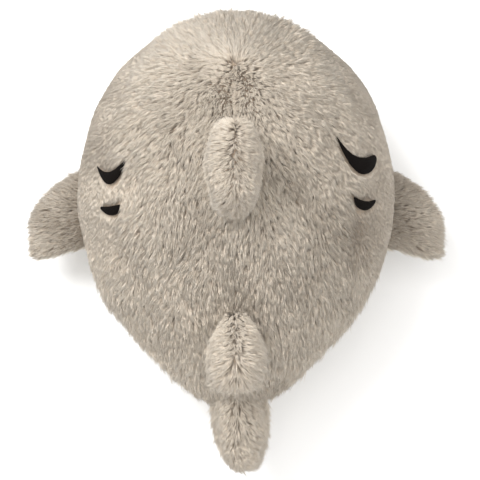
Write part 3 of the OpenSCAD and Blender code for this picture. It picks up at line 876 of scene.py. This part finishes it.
def comb_back(p):
    """The nap runs out and back from a whorl on top of the head, and lies flat beside the gills."""
    away = p - WHORL
    near = np.exp(-(away[:, 0] / WHORL_WIDE) ** 2 - (away[:, 1] / WHORL_LONG) ** 2)
    near = near * on_top(p)
    away[:, 1] += NAP_BACK
    flat = np.maximum(cheek_band(p), np.max([mark.nearness(p) for mark in CRESCENTS], axis=0))
    away = unit(away)
    low = smooth_step(*LOW_HEIGHTS, p[:, 2])
    lean = BACK_LEAN + WHORL_LEAN * near + LOW_LEAN * low * (1 - flat) + FLAT_PILE_LEAN * flat
    lean = np.radians(lean + LEAN_SWING * waves(p, 0.045, 21))
    length = BODY_PILE_LENGTH * (1 - WHORL_SHORT * near - FLAT_SHORT * flat)
    length = length * (1 + LENGTH_SWING * waves(p, 0.04, 22))
    tone = BACK_TONE + TONE_SWING * waves(p, 0.035, 23) + TONE_SWING * waves(p, 0.09, 24)
    # painted shade: the darkened patches lower the pile's tone here
    tone = tone + painted_shade(p) + FLAT_TONE * flat + WHORL_TONE * near
    return away, lean, length, tone, np.maximum(FLAT_TIDY * flat, WHORL_TIDY * near)


def comb_belly(p):
    """The belly's nap runs to the rear, and is pressed flat on the floor."""
    along = np.tile([0.0, 1.0, 0.0], (len(p), 1))
    along[:, 0] = BELLY_FAN * p[:, 0]
    on_floor = smooth_step(*FLOOR_HEIGHTS, p[:, 2])
    lean = np.radians(BELLY_LEAN + FLOOR_LEAN * on_floor)
    length = BELLY_PILE_LENGTH * np.ones(len(p))
    return along, lean, length, 0.5 + 0.06 * waves(p, 0.05, 31), np.zeros(len(p))


def comb_fin(fin, look):
    """The nap parts along a fin's edge seam and runs out over its sides and back along it."""

    def comb(p):
        x, y, z = fin.local(p).T
        out = np.tanh(y / (look["parting"] * MM)) * look["out"]
        back = look["back"] + look["fan"] * (x - fin.sweep) / fin.chord
        up = look["up"] - look["fall"] * smooth_step(0.3, 1, (x - fin.sweep) / fin.chord)
        way = np.stack([back, out, up], axis=-1) @ fin.axes
        rim = np.abs(out) / max(look["out"], 0.1)
        lean = look["ridge_lean"] + (look["lean"] - look["ridge_lean"]) * rim + 4 * waves(p, FIN_WAVE, 41)
        lean = np.radians(lean)
        length = look["length"] * MM * (1 + LENGTH_SWING * waves(p, FIN_WAVE, 42))
        # painted shade: the pile is darker towards the fin's root, where the body's shadow falls on it
        shade = look["shade"] * (1 - np.clip(z / fin.span, 0, 1)) ** 1.5
        tone = look["tone"] - shade + RIM_TONE * (rim - 0.5) + TONE_SWING * waves(p, FIN_WAVE, 43)
        return way, lean, length, tone, np.full(len(p), look["tidy"])

    return comb


def keep_back(root, knee, tip):
    """Leaves the marks and the eyes bare."""
    bad = np.zeros(len(root), bool)
    for s in np.linspace(0, 1, 7):
        at = root * (1 - s) ** 2 + knee * 2 * s * (1 - s) + tip * s ** 2
        for mark in CRESCENTS:
            bad |= mark.covers(at, (0.8 - 0.7 * s) * MM)
    for side in (-1, 1):
        bad |= np.linalg.norm(root - eye_centre(side), axis=1) < EYE_R * EYE_CLEAR
        bad |= np.linalg.norm(tip - eye_centre(side), axis=1) < EYE_R * EYE_TIP_CLEAR
    return ~bad


def keep_belly(root, knee, tip):
    """Leaves the mouth bare, and keeps the pile above the floor."""
    middle = 0.25 * root + 0.5 * knee + 0.25 * tip
    return ~(near_mouth(root, 0.3 * MM) | near_mouth(middle, 0) | near_mouth(tip, -0.6 * MM)) & (
        tip[:, 2] > 0.2 * MM)


# ---- Building the object -----------------------------------------------------


PANEL_ROWS, PANEL_COLUMNS, PANEL_END = 150, 90, 0.995
FILL_ROWS, FILL_SIDES, FILL_END = 90, 120, 0.999


def panel_grid(low, high, depth):
    u = np.linspace(-PANEL_END, PANEL_END, PANEL_ROWS)[:, None]
    angle = np.linspace(low, high, PANEL_COLUMNS)[None]
    return stuffed(body_point(u, angle, depth).reshape(-1, 3)).reshape(PANEL_ROWS, PANEL_COLUMNS, 3)


def make_panel(name, low, high, mirror, node, knit, pile, look, comb, keep):
    """A panel's backing and pile, between two angles around the body. mirror puts it on the right side."""
    outer = panel_grid(low, high, BACKING_DEPTH)
    inner = panel_grid(low, high, BACKING_DEPTH + BACKING_THICK)
    if mirror:
        outer, inner = outer * [-1, 1, 1], inner * [-1, 1, 1]
        outer, inner = outer[:, ::-1], inner[:, ::-1]
    backing = sheet_mesh(name + "_backing", outer, inner)
    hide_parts(node)
    dress(backing, knit, "body")
    surface = outward(grid_surface(outer), BODY_MIDDLE)
    for piece in grow(name + "_pile", surface, look, comb, keep):
        dress(piece, pile, "body")


def make_body():
    for hand in ("left", "right"):
        make_panel("back_" + hand, -SEAM_DROP, 90, hand == "right", "back_panel_" + hand, GREY_KNIT,
                   GREY_PILE, LONG_PILE, comb_back, keep_back)
    make_panel("belly", -180 + SEAM_DROP, -SEAM_DROP, False, "belly_panel", CREAM_KNIT, CREAM_PILE,
               SHORT_PILE, comb_belly, keep_belly)
    u = np.linspace(-FILL_END, FILL_END, FILL_ROWS)[:, None]
    angle = np.linspace(0, 360, FILL_SIDES + 1)[None, :-1]
    grid = stuffed(body_point(u, angle, FILL_DEPTH).reshape(-1, 3))
    fill = closed_mesh("body_fill", grid.reshape(FILL_ROWS, FILL_SIDES, 3))
    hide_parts("body_stuffing")
    dress(fill, FIBRE, "body")


# out, back and up say how the nap runs: away from the edge seam, along the fin, and to its tip.
# fan spreads it along the fin, and fall turns it down again towards the trailing edge. The pile leans
# from its normal by lean degrees over the sides and by ridge_lean along the parting, parting mm wide,
# and shade darkens it near the root.
# painted shade: the pectorals' pile is toned dark, as they sit low in the body's shadow; the right one is
# toned lighter than the left
PECTORAL_LOOK = dict(
    out=0.0, back=0.3, fan=0.5, up=1.0, fall=0, lean=64, ridge_lean=64, parting=3, length=9, tone=0.45,
    shade=0.24, tidy=0.4)
FIN_LOOKS = {
    "dorsal": dict(
        out=1.0, back=0.3, fan=0.6, up=0.3, fall=0.9, lean=60, ridge_lean=58, parting=10, length=8.5,
        tone=0.49, shade=0, tidy=0.45),
    "pectoral_left": PECTORAL_LOOK,
    "pectoral_right": dict(PECTORAL_LOOK, tone=0.52),
    "tail_upper": dict(
        out=0.9, back=0.5, fan=0.8, up=0.45, fall=0, lean=66, ridge_lean=62, parting=6, length=12, tone=0.57,
        shade=0, tidy=0.6),
    "tail_lower": dict(
        out=1.0, back=0.0, fan=0.2, up=0.8, fall=0, lean=58, ridge_lean=46, parting=7, length=9.5, tone=0.56,
        shade=0, tidy=0.25)}


def settle(piece, name, fin):
    """A fin's piece rides on its body. The thick lower lobe's pieces are not attached; their placing is
    applied to their meshes.
    """
    if name == "tail_lower":
        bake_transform(piece)
    else:
        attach(piece, fin.body)


def dress_fin(piece, material, name, fin):
    """Gives a fin's piece its material, and settles it on its body."""
    piece.data.materials.append(material)
    settle(piece, name, fin)


FIN_ROWS, FIN_COLUMNS, FIN_END = 40, 44, 89.5  # the grid of a cover, and where it ends in degrees to the tip
FIN_FILL_COLUMNS = 32
FIN_FILL_DEPTH = 2.5 * MM
FIN_MIDDLE = 0.4  # share of the span


def make_fin(name):
    fin = FINS[name]
    a = np.linspace(0, FIN_END, FIN_ROWS)[:, None]
    b = np.linspace(-90, 90, FIN_COLUMNS)[None]
    centre = fin.origin + fin.axes[2] * fin.span * FIN_MIDDLE
    pectoral = name.startswith("pectoral")
    for side, word in zip((1, -1), ("upper", "lower") if pectoral else ("right", "left")):
        outer = fin.point(a, b, side, 0)
        inner = fin.point(a, b, side, BACKING_THICK)
        pale = word == "lower"
        backing = sheet_mesh(f"{name}_{word}_backing", outer, inner)
        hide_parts(f"{name}_{word}_cover" if pectoral else f"{name}_cover_{word}")
        dress_fin(backing, CREAM_KNIT if pale else GREY_KNIT, name, fin)
        surface = outward(grid_surface(outer), centre)
        look = SHORT_PILE if pale else FIN_PILE
        for piece in grow(f"{name}_{word}_pile", surface, look, comb_fin(fin, FIN_LOOKS[name])):
            dress_fin(piece, CREAM_PILE if pale else GREY_PILE, name, fin)
    half_way = np.linspace(-90, 90, FIN_FILL_COLUMNS)[:-1]
    b_round = np.concatenate([half_way, -half_way])[None]
    sides = np.repeat([1.0, -1.0], FIN_FILL_COLUMNS - 1)[None]
    fill = closed_mesh(f"{name}_fill", fin.point(a[:-1], b_round, sides, FIN_FILL_DEPTH))
    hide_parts(f"{name}_stuffing")
    dress_fin(fill, FIBRE, name, fin)


def paint_cad():
    """Materials for the CAD pieces that show as they are."""
    looks = {
        "eye_washer_left": WASHER, "eye_washer_right": WASHER, "back_seam_thread": SEAM_THREAD,
        "side_seam_thread_left": SEAM_THREAD, "side_seam_thread_right": SEAM_THREAD,
        "closing_stitch": CREAM_THREAD, "care_label": LABEL}
    for node, material in looks.items():
        obj = frame["nodes"][node]
        obj.data.materials.clear()
        obj.data.materials.append(material)


# ---- Camera, lights and floor ------------------------------------------------

CAMERA_ELEVATION = math.radians(78)
CAMERA_DISTANCE = 1.8
VIEW_WIDTH = 0.3965  # at the target
SENSOR = 36
TARGET = Vector((-0.0033, 0.0017, 0.11))
LIGHT_TARGET = Vector((0, 0, 0.1))
FLOOR_SIZE, FLOOR_DROP = 12, 0.0005


def make_camera():
    data = bpy.data.cameras.new("camera")
    camera = bpy.data.objects.new("camera", data)
    bpy.context.scene.collection.objects.link(camera)
    away = Vector((0, math.cos(CAMERA_ELEVATION), math.sin(CAMERA_ELEVATION)))
    camera.location = TARGET + away * CAMERA_DISTANCE
    camera.rotation_euler = (-away).to_track_quat("-Z", "Y").to_euler()
    data.sensor_width = SENSOR
    data.lens = SENSOR * CAMERA_DISTANCE / VIEW_WIDTH
    data.clip_start = 0.05
    bpy.context.scene.camera = camera


def make_light(name, place, size, power):
    data = bpy.data.lights.new(name, "AREA")
    data.shape = "DISK"
    data.size = size
    data.energy = power
    light = bpy.data.objects.new(name, data)
    bpy.context.scene.collection.objects.link(light)
    light.location = place
    light.rotation_euler = (LIGHT_TARGET - Vector(place)).to_track_quat("-Z", "Y").to_euler()


def make_studio():
    world = bpy.data.worlds.new("studio")
    bpy.context.scene.world = world
    world.use_nodes = True
    background = world.node_tree.nodes["Background"]
    background.inputs["Color"].default_value = (1.0, 0.99, 0.975, 1)
    background.inputs["Strength"].default_value = 0.86
    make_light("key", (0.85, -0.45, 2.0), 1.0, 35)
    make_light("top", (-0.3, 0.3, 2.4), 2.0, 22)
    bpy.ops.mesh.primitive_plane_add(size=FLOOR_SIZE, location=(0, 0, -FLOOR_DROP))
    floor = bpy.context.active_object
    floor.name = "floor"
    m = Nodes("floor_paper", roughness=0.9)
    noise = m.add("ShaderNodeTexNoise", Scale=40.0, Detail=3.0)
    m.link(m.ramp(noise.outputs["Fac"], [(0.3, (0.95, 0.95, 0.95, 1)), (0.7, (0.97, 0.97, 0.97, 1))]),
           m.shader.inputs["Base Color"])
    floor.data.materials.append(m.material)


make_camera()
make_studio()
make_body()
for fin_name in FINS:
    make_fin(fin_name)
for crescent in CRESCENTS:
    embroider(crescent)
embroider_mouth()
make_eye("eye_left", 1)
make_eye("eye_right", -1)
paint_cad()
bpy.context.scene.view_settings.view_transform = "Standard"
